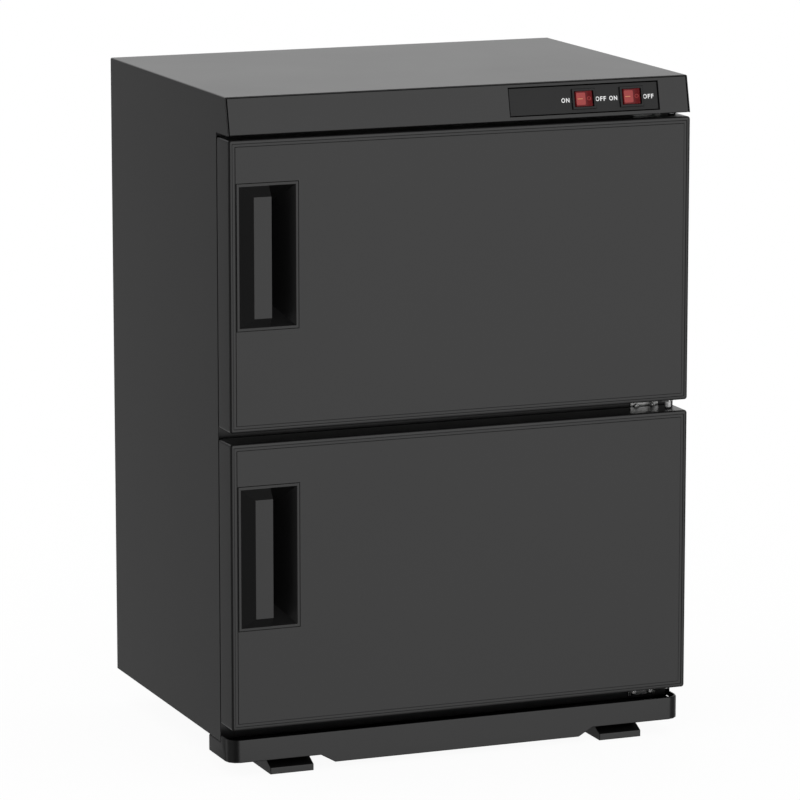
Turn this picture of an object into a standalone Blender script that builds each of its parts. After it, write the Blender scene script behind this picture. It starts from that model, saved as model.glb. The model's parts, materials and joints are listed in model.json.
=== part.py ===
"""Two-door towel warmer: a sheet-steel cabinet with two heated chambers, one above the other.

The cabinet stands on four feet. X runs to the right, Y to the back and Z up, in metres. The origin is
on the floor, below the middle of the whole object.
"""
from math import asin, atan2, cos, hypot, pi, radians, sin, tan

import bmesh
import bpy
from mathutils import Matrix, Vector

# Cabinet
CASE_WIDTH = 0.4500
CASE_DEPTH = 0.2970
CASE_HEIGHT = 0.5929
CASE_SHEET = 0.0010
CASE_BEND = 0.0005
PLATE_SHEET = 0.0010
PLATE_RETURN = 0.0150
REAR_INSET = 0.0060
VENT_LENGTH = 0.0340
VENT_WIDTH = 0.0050
VENT_PITCH = 0.0140
VENT_ROWS = 6
REAR_VENT_PLACE = 0.1125
FLOOR_VENT_PLACE = 0.0750
GLAND_HEIGHT = 0.0500
GLAND_FROM_SIDE = 0.0700
GLAND_RADIUS = 0.0075
GLAND_LIP = 0.0025
CORD_BORE = 0.0040

# Header above the doors, with its raked fascia
HEADER_HEIGHT = 0.0338
HEADER_REACH = 0.0313
HEADER_RAKE = 0.0079
FASCIA_SHEET = 0.0015
FASCIA_SEAM = 0.0008
FASCIA_FILLET = 0.0010
SWITCH_PLATE_WIDTH = 0.1470
SWITCH_PLATE_FROM_SIDE = 0.0310
SWITCH_PLATE_MARGIN = 0.0048
SWITCH_PLATE_GAP = 0.0008
SWITCH_PLATE_LIP = 0.0020
SWITCH_PLATE_RECESS = 0.0012
SWITCH_PITCH = 0.0475
SWITCH_FROM_END = 0.0263

# Rocker switches
ROCKER_RADIUS = 0.0092
ROCKER_WIDTH = 0.0138
ROCKER_HEIGHT = 0.0045
ROCKER_VALLEY = 0.0024
ROCKER_THROW = 16.0
ROCKER_UNDERCUT = 15.0
TRUNNION_RADIUS = 0.0015
SWITCH_WALL = 0.0009
BEZEL_LIP = 0.0010
BEZEL_HEIGHT = 0.0016
TERMINAL_LENGTH = 0.0070
TERMINAL_WIDTH = 0.0048
TERMINAL_SHEET = 0.0008

# Doors
DOOR_THICKNESS = 0.0310
DOOR_CLEARANCE = 0.0011
DOOR_WALL = 0.0022
DOOR_FACE = 0.0025
DOOR_CORNER = 0.0025
DOOR_EDGE = 0.0018
DOOR_BACK_EDGE = 0.0010
DOOR_INNER_CORNER = 0.0006
GROOVE_INSET = 0.0033
GROOVE_WIDTH = 0.0032
GROOVE_DEPTH = 0.0005
BASE_GAP = 0.0168
PAN_SHEET = 0.0020
PAN_HEIGHT = 0.0065
PAN_DRAFT = 0.0010
PAN_CLEARANCE = 0.0060
GASKET_WIDTH = 0.0100
GASKET_BULB = 0.0060
GASKET_BASE = 0.0012
GASKET_CORNER = 0.0120
MAGNET_LENGTH = 0.0500
MAGNET_WIDTH = 0.0090

# Handles
HANDLE_LENGTH = 0.1329
HANDLE_WIDTH = 0.0590
HANDLE_FROM_EDGE = 0.0070
HANDLE_ABOVE_MIDDLE = 0.0265
HANDLE_GAP = 0.0003
HANDLE_LIP = 0.0030
HANDLE_LIP_SHEET = 0.0015
HANDLE_FLOOR = 0.0030
BEZEL_RIM = 0.0026
BEZEL_PROUD = 0.0003
GRIP_PROUD = 0.0070
GRIP_WIDTH = 0.0168
GRIP_SIDE_RUN = 0.0115
GRIP_END_RUN = 0.0092
GRIP_WALL = 0.0045
WELL_DEPTH = 0.0200
WELL_TAPER = 0.95
GRIP_UNDERCUT = 0.0150

# Hinges
HINGE_INSET = 0.0126
PIN_RADIUS = 0.0016
PIN_SHOULDER_RADIUS = 0.0028
PIN_REACH = 0.0080
END_SHOULDER = 0.0004
MIDDLE_SHOULDER = 0.0050
BUSH_WALL = 0.0008
BUSH_FLANGE = 0.0008
BUSH_LIP = 0.0004
BRACKET_SHEET = 0.0012
BRACKET_WIDTH = 0.0280
BRACKET_DROP = 0.0110
BRACKET_OFFSET = 0.0012
BRACKET_NOSE = 0.0036
BRACKET_SCREW_RADIUS = 0.0020
BRACKET_SCREW_INSET = 0.0057
BRACKET_SCREW_DROP = 0.0080

# Chambers
FRAME_SHEET = 0.0012
SIDE_SPACE = 0.0380
END_SPACE = 0.0290
BACK_SPACE = 0.0750
LINER_SHEET = 0.0010
LINER_FLANGE = 0.0120
LINER_CORNER = 0.0120
RAIL_RADIUS = 0.0020
RAIL_BEND = 0.0080
WIRE_RADIUS = 0.00125
WIRE_PITCH = 0.0260
WIRE_WELD = 0.0005
WIRE_OVERHANG = 0.0080
RACK_HEIGHT = 0.0140
RACK_CLEARANCE = 0.0010
RAIL_INSET = 0.0300

# Heating
HEATER_MARGIN = 0.0300
HEATER_SHEET = 0.0020
ELEMENT_RADIUS = 0.0033
ELEMENT_PITCH = 0.0360
ELEMENT_RUNS = 4
ELEMENT_BEND = 0.0110
ELEMENT_INSET = 0.0280
THERMOSTAT_RADIUS = 0.0080
THERMOSTAT_HEIGHT = 0.0090
THERMOSTAT_STEM = 0.0055
TERMINAL_POLES = 3
TERMINAL_PITCH = 0.0120
TERMINAL_DEPTH = 0.0200
TERMINAL_HEIGHT = 0.0160
TERMINAL_RIB = 0.0020
TERMINAL_SETBACK = 0.0100

# Drip tray and feet
TRAY_REACH = 0.0232
TRAY_RISE = 0.0056
TRAY_END_DROP = 0.0159
TRAY_MIDDLE_DROP = 0.0238
TRAY_STEP_RUN = 0.0140
TRAY_FOOT_CLEARANCE = 0.0073
TRAY_UNDER = 0.0318
TRAY_WALL = 0.0020
TRAY_CORNER = 0.0115
TRAY_CLEARANCE = 0.0010
FOOT_HEIGHT = 0.0296
FOOT_WIDTH = 0.0420
FOOT_INSET = 0.0402
FOOT_REACH = 0.0228
FOOT_LIP = 0.0062
FOOT_SLOPE_RUN = 0.0160
FOOT_HEEL = 0.0180
FOOT_WALL = 0.0030
REAR_FOOT_LENGTH = 0.0420
REAR_FOOT_INSET = 0.0150

# Clearances and fineness
FIT = 0.0003
SWEEP_CLEARANCE = 0.0010
CORNER_STEPS = 3
ROUND_SIDES = 16
WIRE_SIDES = 8
OVERCUT = 0.0050
SHARP_ANGLE = 35.0

# Levels and places that follow from the sizes above
HALF_WIDTH = CASE_WIDTH / 2
BACK = (CASE_DEPTH + DOOR_CLEARANCE + DOOR_THICKNESS + GRIP_PROUD) / 2
FRONT = BACK - CASE_DEPTH
BASE = FOOT_HEIGHT
TOP = BASE + CASE_HEIGHT
HEADER_BOTTOM = TOP - HEADER_HEIGHT
INNER_HALF = HALF_WIDTH - CASE_SHEET - FIT
RAKE_ANGLE = atan2(HEADER_RAKE, HEADER_HEIGHT)
RAKE_LENGTH = hypot(HEADER_RAKE, HEADER_HEIGHT)

BUSH_STAND = 2 * FIT + BUSH_FLANGE
HEADER_GAP = BUSH_STAND + END_SHOULDER + 2 * FIT + BRACKET_SHEET
DOOR_SPACING = 2 * (BUSH_STAND + FIT) + MIDDLE_SHOULDER + BRACKET_SHEET + END_SHOULDER
DOOR_HEIGHT = (CASE_HEIGHT - HEADER_HEIGHT - HEADER_GAP - DOOR_SPACING - BASE_GAP) / 2
LOWER_DOOR = BASE + BASE_GAP
UPPER_DOOR = LOWER_DOOR + DOOR_HEIGHT + DOOR_SPACING
HINGE_X = HALF_WIDTH - HINGE_INSET
HINGE_Y = FRONT - DOOR_CLEARANCE - DOOR_THICKNESS / 2
BUSH_RADIUS = PIN_RADIUS + FIT + BUSH_WALL

DOOR_SWEEP = hypot(HINGE_INSET, DOOR_THICKNESS / 2) - DOOR_THICKNESS / 2 - DOOR_CLEARANCE
FRAME_FRONT = FRONT + DOOR_SWEEP + SWEEP_CLEARANCE
REAR_FACE = BACK - REAR_INSET
FLOOR_TOP = BASE + PLATE_SHEET + FIT
CHAMBER_HALF = HALF_WIDTH - SIDE_SPACE
CHAMBER_HEIGHT = DOOR_HEIGHT - 2 * END_SPACE
LINER_FRONT = FRAME_FRONT + FRAME_SHEET + FIT
LINER_BACK = BACK - BACK_SPACE
PANEL_BACK = DOOR_THICKNESS / 2 - FIT
SEAL_LEVELS = (PANEL_BACK + FIT, FRAME_FRONT - FIT - HINGE_Y)

PLATE_HEIGHT = RAKE_LENGTH - 2 * SWITCH_PLATE_MARGIN
PLATE_X = HALF_WIDTH - SWITCH_PLATE_FROM_SIDE - SWITCH_PLATE_WIDTH / 2
HALF_THROW = radians(ROCKER_THROW) / 2
ROCKER_FACE = ROCKER_HEIGHT * cos(HALF_THROW)
PIVOT_LEVEL = BEZEL_HEIGHT + FIT - ROCKER_FACE
TRAY_BACK = TRAY_UNDER + TRAY_CLEARANCE


def clear_scene():
    """Start from an empty scene."""
    for item in list(bpy.data.objects):
        bpy.data.objects.remove(item, do_unlink=True)


def finish(name, colour, roughness, metallic):
    """Surface finish: a Principled shader with one colour, roughness and metallic value."""
    material = bpy.data.materials.new(name)
    material.use_nodes = True
    shader = material.node_tree.nodes["Principled BSDF"]
    shader.inputs["Base Color"].default_value = (*colour, 1.0)
    shader.inputs["Roughness"].default_value = roughness
    shader.inputs["Metallic"].default_value = metallic
    return material


def rounded(corners):
    """Closed outline through (a, b, radius) corners. A corner that has a radius is turned by an arc."""
    points = []
    for index, (a, b, radius) in enumerate(corners):
        corner = Vector((a, b))
        if radius == 0:
            points.append((a, b))
            continue
        back = (Vector(corners[index - 1][:2]) - corner).normalized()
        ahead = (Vector(corners[(index + 1) % len(corners)][:2]) - corner).normalized()
        half_angle = back.angle(ahead) / 2
        centre = corner + (back + ahead).normalized() * (radius / sin(half_angle))
        first = corner + back * (radius / tan(half_angle)) - centre
        turn = pi - 2 * half_angle
        if back.cross(ahead) > 0:
            turn = -turn
        for step in range(CORNER_STEPS + 1):
            angle = turn * step / CORNER_STEPS
            points.append((centre.x + first.x * cos(angle) - first.y * sin(angle),
                           centre.y + first.x * sin(angle) + first.y * cos(angle)))
    return points


def rectangle(low, high, radius=0.0, inset=0.0):
    """Outline of a rectangle between two corners, drawn in by inset, with its corners rounded."""
    a_low, b_low = low[0] + inset, low[1] + inset
    a_high, b_high = high[0] - inset, high[1] - inset
    return rounded(((a_high, b_low, radius), (a_high, b_high, radius),
                    (a_low, b_high, radius), (a_low, b_low, radius)))


def circle(radius, centre=(0.0, 0.0), sides=ROUND_SIDES):
    """Outline of a circle as a regular polygon."""
    turns = [2 * pi * step / sides for step in range(sides)]
    return [(centre[0] + radius * cos(turn), centre[1] + radius * sin(turn)) for turn in turns]


def at_level(outline, level, axis):
    """Lift a flat outline into space, square to the axis. Its two values are the other axes in order."""
    place = "XYZ".index(axis)
    return [(*point[:place], level, *point[place:]) for point in outline]


def loft(loops, ring=False):
    """Skin closed loops of equal count in order. The ends are capped, or joined where ring is set."""
    shape = bmesh.new()
    rows = [[shape.verts.new(point) for point in loop] for loop in loops]
    pairs = list(zip(rows, rows[1:]))
    if ring:
        pairs.append((rows[-1], rows[0]))
    else:
        shape.faces.new(rows[0])
        shape.faces.new(rows[-1])
    for near, far in pairs:
        for index, vertex in enumerate(near):
            following = (index + 1) % len(near)
            shape.faces.new((vertex, near[following], far[following], far[index]))
    bmesh.ops.recalc_face_normals(shape, faces=shape.faces)
    return shape


def extrude(outline, start, end, axis):
    """Prism of a flat outline between two levels of an axis."""
    return loft([at_level(outline, start, axis), at_level(outline, end, axis)])


def box(low, high):
    """Rectangular block between two opposite corners."""
    return extrude(rectangle(low[:2], high[:2]), low[2], high[2], "Z")


def turned(profile, axis, centre=(0.0, 0.0), ring=False, sides=ROUND_SIDES):
    """Turned piece: (radius, level) pairs along an axis, closed on itself where ring is set."""
    return loft([at_level(circle(radius, centre, sides), level, axis) for radius, level in profile], ring)


def wire(path, radius, axis):
    """Round wire along a path that lies in the plane square to the axis."""
    last = len(path) - 1
    loops = []
    for index, point in enumerate(path):
        here = Vector(point)
        along = Vector(path[min(index + 1, last)]) - Vector(path[max(index - 1, 0)])
        across = Vector((-along.y, along.x)).normalized()
        loop = []
        for out, level in circle(radius, sides=WIRE_SIDES):
            loop.extend(at_level([tuple(here + across * out)], level, axis))
        loops.append(loop)
    return loft(loops)


def together(*shapes):
    """One mesh that holds several separate shapes."""
    whole = shapes[0]
    for shape in shapes[1:]:
        mesh = bpy.data.meshes.new("joined")
        shape.to_mesh(mesh)
        whole.from_mesh(mesh)
        bpy.data.meshes.remove(mesh)
        shape.free()
    return whole


def moved(shape, matrix):
    """Shape carried into another frame."""
    bmesh.ops.transform(shape, matrix=matrix, verts=shape.verts)
    return shape


def solid(name, shape):
    """Object that holds a shape."""
    mesh = bpy.data.meshes.new(name)
    shape.to_mesh(mesh)
    shape.free()
    item = bpy.data.objects.new(name, mesh)
    bpy.context.collection.objects.link(item)
    return item


def combine(item, shape, operation="DIFFERENCE"):
    """Cut a shape from an item, or join or intersect it, and keep the result as the item's mesh."""
    tool = solid("tool", shape)
    modifier = item.modifiers.new(operation, "BOOLEAN")
    modifier.operation = operation
    modifier.object = tool
    evaluated = item.evaluated_get(bpy.context.evaluated_depsgraph_get())
    mesh = bpy.data.meshes.new_from_object(evaluated)
    item.modifiers.clear()
    item.data = mesh
    mesh.name = item.name
    bpy.data.objects.remove(tool, do_unlink=True)
    return item


def complete(item, material, parent=None, location=(0.0, 0.0, 0.0)):
    """Give a piece its finish, smooth its round faces and hang it on its parent."""
    item.data.materials.clear()
    item.data.materials.append(material)
    item.data.shade_smooth()
    item.data.set_sharp_from_angle(angle=radians(SHARP_ANGLE))
    item.location = location
    item.parent = parent
    return item


def joint_empty(name, location, matrix=None):
    """Empty on a joint's axis, which carries the pieces that move about it."""
    empty = bpy.data.objects.new(name, None)
    bpy.context.collection.objects.link(empty)
    empty.location = location
    if matrix is not None:
        empty.rotation_euler = matrix.to_euler()
    return empty


def outer_casing(material):
    """Top and sides folded from one sheet. The sides reach forward at the top as the header's ears."""
    bend = CASE_BEND + CASE_SHEET
    inner, inner_top = HALF_WIDTH - CASE_SHEET, TOP - CASE_SHEET
    section = rounded(((-HALF_WIDTH, BASE, 0), (-inner, BASE, 0), (-inner, inner_top, CASE_BEND),
                       (inner, inner_top, CASE_BEND), (inner, BASE, 0), (HALF_WIDTH, BASE, 0),
                       (HALF_WIDTH, TOP, bend), (-HALF_WIDTH, TOP, bend)))
    casing = solid("outer_casing", extrude(section, FRONT - HEADER_REACH - OVERCUT, BACK, "Y"))
    ear = FRONT - HEADER_REACH
    above = HEADER_RAKE * (1 + OVERCUT / HEADER_HEIGHT)
    ahead = ear - 2 * OVERCUT
    in_front = ((FRONT, BASE - OVERCUT), (FRONT, HEADER_BOTTOM), (ear, HEADER_BOTTOM),
                (ear + above, TOP + OVERCUT), (ahead, TOP + OVERCUT), (ahead, BASE - OVERCUT))
    reach = HALF_WIDTH + OVERCUT
    combine(casing, extrude(in_front, -reach, reach, "X"))
    return complete(casing, material)


def pan(low, high, face, rim, sheet, axis):
    """Sheet pan between two corners: a flat face with its four edges turned towards the rim level."""
    inside = face + sheet if rim > face else face - sheet
    outer, inner = rectangle(low, high, CASE_BEND + sheet), rectangle(low, high, CASE_BEND, sheet)
    return loft([at_level(outer, face, axis), at_level(outer, rim, axis),
                 at_level(inner, rim, axis), at_level(inner, inside, axis)])


def vent_bank(middle, rows, start, end, axis):
    """Column of rounded slots centred on a point of the plane square to the axis."""
    slots = []
    for row in range(rows):
        level = middle[1] + (row - (rows - 1) / 2) * VENT_PITCH
        low = (middle[0] - VENT_LENGTH / 2, level - VENT_WIDTH / 2)
        high = (middle[0] + VENT_LENGTH / 2, level + VENT_WIDTH / 2)
        slots.append(extrude(rectangle(low, high, VENT_WIDTH / 2 - FIT), start, end, axis))
    return together(*slots)


def rear_panel(material):
    """Back of the cabinet: a shallow pan with two vent banks and the cord's hole."""
    low, high = (-INNER_HALF, FLOOR_TOP), (INNER_HALF, TOP - CASE_SHEET - FIT)
    panel = solid("rear_panel", pan(low, high, REAR_FACE, REAR_FACE - PLATE_RETURN, PLATE_SHEET, "Y"))
    reach = (REAR_FACE - PLATE_SHEET - OVERCUT, REAR_FACE + OVERCUT)
    middles = [(side * REAR_VENT_PLACE, level + DOOR_HEIGHT / 2)
               for side in (-1, 1) for level in (LOWER_DOOR, UPPER_DOOR)]
    combine(panel, together(*[vent_bank(middle, VENT_ROWS, *reach, "Y") for middle in middles]))
    centre = (HALF_WIDTH - GLAND_FROM_SIDE, BASE + GLAND_HEIGHT)
    combine(panel, extrude(circle(GLAND_RADIUS + FIT, centre), *reach, "Y"))
    return complete(panel, material)


def cord_gland(material):
    """Rubber grommet that grips the edge of the cord's hole in the rear panel."""
    lip = GLAND_RADIUS + GLAND_LIP
    out, inside = REAR_FACE + FIT, REAR_FACE - PLATE_SHEET - FIT
    profile = ((CORD_BORE, inside - GLAND_LIP), (lip, inside - GLAND_LIP), (lip, inside),
               (GLAND_RADIUS, inside), (GLAND_RADIUS, out), (lip, out),
               (lip - GLAND_LIP / 2, out + GLAND_LIP), (CORD_BORE, out + GLAND_LIP))
    centre = (HALF_WIDTH - GLAND_FROM_SIDE, BASE + GLAND_HEIGHT)
    return complete(solid("cord_gland", turned(profile, "Y", centre, ring=True)), material)


def bottom_plate(material):
    """Floor of the cabinet: a flat sheet whose sides are turned up between the end panels' returns."""
    half, rise, top = INNER_HALF, BASE + PLATE_RETURN, BASE + PLATE_SHEET
    ends = (FRAME_FRONT, REAR_FACE)
    plate = solid("bottom_plate", extrude(rectangle((-half, ends[0]), (half, ends[1])), BASE, top, "Z"))
    within = half - PLATE_SHEET
    section = ((-half, BASE), (half, BASE), (half, rise), (within, rise), (within, top), (-within, top),
               (-within, rise), (-half, rise))
    clear = PLATE_RETURN + FIT
    combine(plate, extrude(section, ends[0] + clear, ends[1] - clear, "Y"), "UNION")
    slots = [vent_bank((side * FLOOR_VENT_PLACE, (FRONT + BACK) / 2), VENT_ROWS,
                       BASE - OVERCUT, top + OVERCUT, "Z") for side in (-1, 1)]
    combine(plate, together(*slots))
    return complete(plate, material)


def chamber_box(door):
    """Lowest and highest corner, in X and Z, of the chamber behind a door whose bottom is at a level."""
    return (-CHAMBER_HALF, door + END_SPACE), (CHAMBER_HALF, door + END_SPACE + CHAMBER_HEIGHT)


def front_frame(material):
    """Sheet-steel face round the two chamber mouths, which the door gaskets close against."""
    low, high = (-INNER_HALF, FLOOR_TOP), (INNER_HALF, HEADER_BOTTOM + PLATE_RETURN)
    frame = solid("front_frame", pan(low, high, FRAME_FRONT, FRAME_FRONT + PLATE_RETURN, FRAME_SHEET, "Y"))
    reach = (FRAME_FRONT - OVERCUT, FRAME_FRONT + FRAME_SHEET + OVERCUT)
    mouths = [extrude(rectangle(*chamber_box(door), LINER_CORNER), *reach, "Y")
              for door in (LOWER_DOOR, UPPER_DOOR)]
    combine(frame, together(*mouths))
    return complete(frame, material)


def chamber_liner(name, door, material):
    """Drawn aluminium box, open at the front, with a flange behind the front frame."""
    low, high = chamber_box(door)

    def loop(grow, level):
        return at_level(rectangle(low, high, LINER_CORNER + grow, -grow), level, "Y")

    wall = LINER_SHEET
    shape = loft([loop(0, LINER_BACK - wall), loop(0, LINER_FRONT), loop(LINER_FLANGE, LINER_FRONT),
                  loop(LINER_FLANGE, LINER_FRONT + wall), loop(wall, LINER_FRONT + wall),
                  loop(wall, LINER_BACK)])
    return complete(solid(name, shape), material)


def wire_rack(name, door, material):
    """Welded rack: two rails bent down at their ends as legs, with straight wires across them."""
    floor = door + END_SPACE + FIT
    half = CHAMBER_HALF - LINER_CORNER - RACK_CLEARANCE - RAIL_RADIUS
    rail_top = floor + RACK_HEIGHT
    bend = rounded(((-half, floor, 0), (-half, rail_top, RAIL_BEND), (half, rail_top, RAIL_BEND),
                    (half, floor, 0)))
    rails_at = (LINER_FRONT + RAIL_INSET, LINER_BACK - RAIL_INSET)
    rails = []
    for depth in rails_at:
        rail = wire(bend, RAIL_RADIUS, "Y")
        rails.append(moved(rail, Matrix.Translation((0, depth, 0))))
    count = int((half - RAIL_BEND - WIRE_RADIUS) / WIRE_PITCH)
    level = rail_top + RAIL_RADIUS + WIRE_RADIUS - WIRE_WELD
    ends = (rails_at[0] - WIRE_OVERHANG, rails_at[1] + WIRE_OVERHANG)
    wires = [extrude(circle(WIRE_RADIUS, (place * WIRE_PITCH, level), WIRE_SIDES), *ends, "Y")
             for place in range(-count, count + 1)]
    rack = solid(name, together(*rails))
    combine(rack, together(*wires), "UNION")
    return complete(rack, material)


def heater(name, door, material):
    """Spreader plate under a chamber floor, with a sheathed element bent back and forth below it."""
    top = door + END_SPACE - LINER_SHEET - FIT
    bottom = top - HEATER_SHEET
    half = CHAMBER_HALF - HEATER_MARGIN
    front, back = LINER_FRONT + HEATER_MARGIN, LINER_BACK - HEATER_MARGIN
    plate = solid(name, extrude(rectangle((-half, front), (half, back), LINER_CORNER), bottom, top, "Z"))
    span = half - ELEMENT_INSET
    corners = []
    for run in range(ELEMENT_RUNS):
        depth = (front + back) / 2 + (run - (ELEMENT_RUNS - 1) / 2) * ELEMENT_PITCH
        side = 1 if run % 2 else -1
        corners.append((side * span, depth, ELEMENT_BEND if run else 0))
        corners.append((-side * span, depth, ELEMENT_BEND if run < ELEMENT_RUNS - 1 else 0))
    element = wire(rounded(corners), ELEMENT_RADIUS, "Z")
    combine(plate, moved(element, Matrix.Translation((0, 0, bottom + WIRE_WELD - ELEMENT_RADIUS))), "UNION")
    return complete(plate, material)


def blade(centre, level, reach, axis):
    """Spade terminal between two levels of an axis, thin across X."""
    thin, wide = TERMINAL_SHEET / 2, TERMINAL_WIDTH / 2
    low = (centre[0] - thin, centre[1] - wide)
    high = (centre[0] + thin, centre[1] + wide)
    return extrude(rectangle(low, high), level, reach, axis)


def thermostat(name, door, material):
    """Bimetal disc thermostat on the back of a chamber, with its two spade terminals."""
    centre = (0.0, door + DOOR_HEIGHT / 2)
    seat = LINER_BACK + FIT
    end = seat + THERMOSTAT_HEIGHT
    profile = ((THERMOSTAT_RADIUS, seat), (THERMOSTAT_RADIUS, seat + THERMOSTAT_HEIGHT / 2),
               (THERMOSTAT_STEM, seat + THERMOSTAT_HEIGHT / 2), (THERMOSTAT_STEM, end))
    body = solid(name, turned(profile, "Y", centre))
    blades = [blade((centre[0] + side * THERMOSTAT_STEM / 2, centre[1]), end - TERMINAL_SHEET,
                    end + TERMINAL_LENGTH, "Y") for side in (-1, 1)]
    combine(body, together(*blades), "UNION")
    return complete(body, material)


def terminal_block(material):
    """Barrier strip on the cabinet floor near the cord's hole, with a well for each pole."""
    length = TERMINAL_POLES * TERMINAL_PITCH + TERMINAL_RIB
    right = HALF_WIDTH - GLAND_FROM_SIDE + length / 2
    back = REAR_FACE - PLATE_RETURN - TERMINAL_SETBACK
    floor = BASE + PLATE_SHEET + FIT
    top = floor + TERMINAL_HEIGHT
    block = solid("terminal_block", box((right - length, back - TERMINAL_DEPTH, floor), (right, back, top)))
    wells = []
    for pole in range(TERMINAL_POLES):
        left = right - length + TERMINAL_RIB + pole * TERMINAL_PITCH
        wells.append(box((left, back - TERMINAL_DEPTH - OVERCUT, floor + TERMINAL_HEIGHT / 2),
                         (left + TERMINAL_PITCH - TERMINAL_RIB, back + OVERCUT, top + OVERCUT)))
    combine(block, together(*wells))
    return complete(block, material)


def header_frame(across, up):
    """Frame on the raked fascia: X across, Y up the slope and Z out of it, from its lower edge."""
    slope = Matrix.Rotation(pi / 2 - RAKE_ANGLE, 4, "X")
    lower_edge = Matrix.Translation((across, FRONT - HEADER_REACH, HEADER_BOTTOM))
    return lower_edge @ slope @ Matrix.Translation((0, up, 0))


def switch_frame(across):
    """Frame on the switch plate's face, which lies a little behind the fascia's."""
    return header_frame(across, RAKE_LENGTH / 2) @ Matrix.Translation((0, 0, -SWITCH_PLATE_RECESS))


def control_fascia(material):
    """Raked strip between the casing's ears, bent back under the header, with the switch window."""
    up = Vector((sin(RAKE_ANGLE), cos(RAKE_ANGLE)))
    inward = Vector((cos(RAKE_ANGLE), -sin(RAKE_ANGLE)))
    toe = Vector((FRONT - HEADER_REACH, HEADER_BOTTOM))
    rise = (HEADER_HEIGHT - CASE_SHEET - FIT) / cos(RAKE_ANGLE)
    head = toe + up * rise
    head_back = head + inward * FASCIA_SHEET
    shelf = HEADER_BOTTOM + FASCIA_SHEET
    inner = toe + inward * FASCIA_SHEET
    inner += up * ((shelf - inner.y) / up.y)
    rear = FRAME_FRONT - FIT
    inner_fillet = max(FASCIA_FILLET - FASCIA_SHEET, FIT)
    section = rounded(((*toe, FASCIA_FILLET), (rear, HEADER_BOTTOM, 0), (rear, shelf, 0),
                       (*inner, inner_fillet), (*head_back, 0), (*head, 0)))
    half = HALF_WIDTH - CASE_SHEET - FASCIA_SEAM
    fascia = solid("control_fascia", extrude(section, -half, half, "X"))
    frame = header_frame(PLATE_X, RAKE_LENGTH / 2)
    side, end = SWITCH_PLATE_WIDTH / 2 + SWITCH_PLATE_GAP, PLATE_HEIGHT / 2 + SWITCH_PLATE_GAP
    window = box((-side, -end, -FASCIA_SHEET - OVERCUT / 2), (side, end, OVERCUT))
    combine(fascia, moved(window, frame))
    return complete(fascia, material)


def switch_places():
    """Places across the header of the two switches, from the left."""
    right = PLATE_X + SWITCH_PLATE_WIDTH / 2 - SWITCH_FROM_END
    return right - SWITCH_PITCH, right


def switch_size(grow):
    """Corners of a rectangle that stands outside the rocker by a margin."""
    side, end = ROCKER_RADIUS + grow, ROCKER_WIDTH / 2 + grow
    return (-side, -end), (side, end)


def switch_plate(material):
    """Plate that shows in the fascia's window, held from behind by a lip at each end, with two holes."""
    side, end = SWITCH_PLATE_WIDTH / 2, PLATE_HEIGHT / 2
    seat = SWITCH_PLATE_RECESS - FASCIA_SHEET - FIT
    rear, lip = seat - FASCIA_SHEET, side + SWITCH_PLATE_GAP + SWITCH_PLATE_LIP
    section = ((-lip, rear), (lip, rear), (lip, seat), (side, seat), (side, 0), (-side, 0), (-side, seat),
               (-lip, seat))
    plate = solid("switch_plate", extrude(section, -end, end, "Y"))
    for place in switch_places():
        hole = rectangle(*switch_size(2 * FIT + SWITCH_WALL))
        cutter = extrude(hole, rear - OVERCUT, OVERCUT, "Z")
        combine(plate, moved(cutter, Matrix.Translation((place - PLATE_X, 0, 0))))
    plate.data.transform(switch_frame(PLATE_X))
    return complete(plate, material)


def switch_housing(name, across, material):
    """Snap-in switch body with a bezel, an open well for the rocker and three spade terminals."""
    floor = PIVOT_LEVEL - ROCKER_RADIUS * sin(radians(ROCKER_UNDERCUT) + HALF_THROW) - FIT
    bottom = floor - SWITCH_WALL

    def loop(grow, level):
        return at_level(rectangle(*switch_size(grow)), level, "Z")

    wall = FIT + SWITCH_WALL
    bezel = wall + FIT + BEZEL_LIP
    shape = loft([loop(FIT, floor), loop(FIT, BEZEL_HEIGHT), loop(bezel - FIT, BEZEL_HEIGHT),
                  loop(bezel, BEZEL_HEIGHT - FIT), loop(bezel, FIT), loop(wall, FIT), loop(wall, bottom)])
    housing = solid(name, shape)
    reach = ROCKER_WIDTH / 2 + FIT + SWITCH_WALL + FIT
    combine(housing, extrude(circle(TRUNNION_RADIUS + FIT, (0, PIVOT_LEVEL)), -reach, reach, "Y"))
    blades = [blade((side * ROCKER_RADIUS / 2, 0), bottom + SWITCH_WALL / 2, bottom - TERMINAL_LENGTH, "Z")
              for side in (-1, 0, 1)]
    combine(housing, together(*blades), "UNION")
    housing.data.transform(switch_frame(across))
    return complete(housing, material)


def rocker(name, parent, material):
    """Rocker of shallow V section, round-ended about its pivot, tipped to its pressed left side.

    The V's bottom lies off the middle, so the left face is the longer one and lies level when pressed.
    """
    corner = HALF_THROW + asin(ROCKER_FACE / ROCKER_RADIUS)
    lower = radians(ROCKER_UNDERCUT)
    steps = 2 * CORNER_STEPS
    turns = [corner - (corner + lower) * step / steps for step in range(steps + 1)]
    right = [(ROCKER_RADIUS * cos(turn), ROCKER_RADIUS * sin(turn)) for turn in turns]
    left = [(-a, b) for a, b in reversed(right)]
    valley = ROCKER_HEIGHT - ROCKER_VALLEY * tan(HALF_THROW)
    section = [(ROCKER_VALLEY, valley), *right, *left]
    half = ROCKER_WIDTH / 2
    body = solid(name, extrude(section, -half, half, "Y"))
    reach = half + FIT + SWITCH_WALL - FIT / 2
    combine(body, extrude(circle(TRUNNION_RADIUS), -reach, reach, "Y"), "UNION")
    body.data.transform(Matrix.Rotation(-HALF_THROW, 4, "Y"))
    return complete(body, material, parent)


def door_rectangle():
    """Corners, in X and Z, of a door seen from its hinge axis at the door's bottom."""
    return (HINGE_INSET - CASE_WIDTH, 0.0), (HINGE_INSET, DOOR_HEIGHT)


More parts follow.
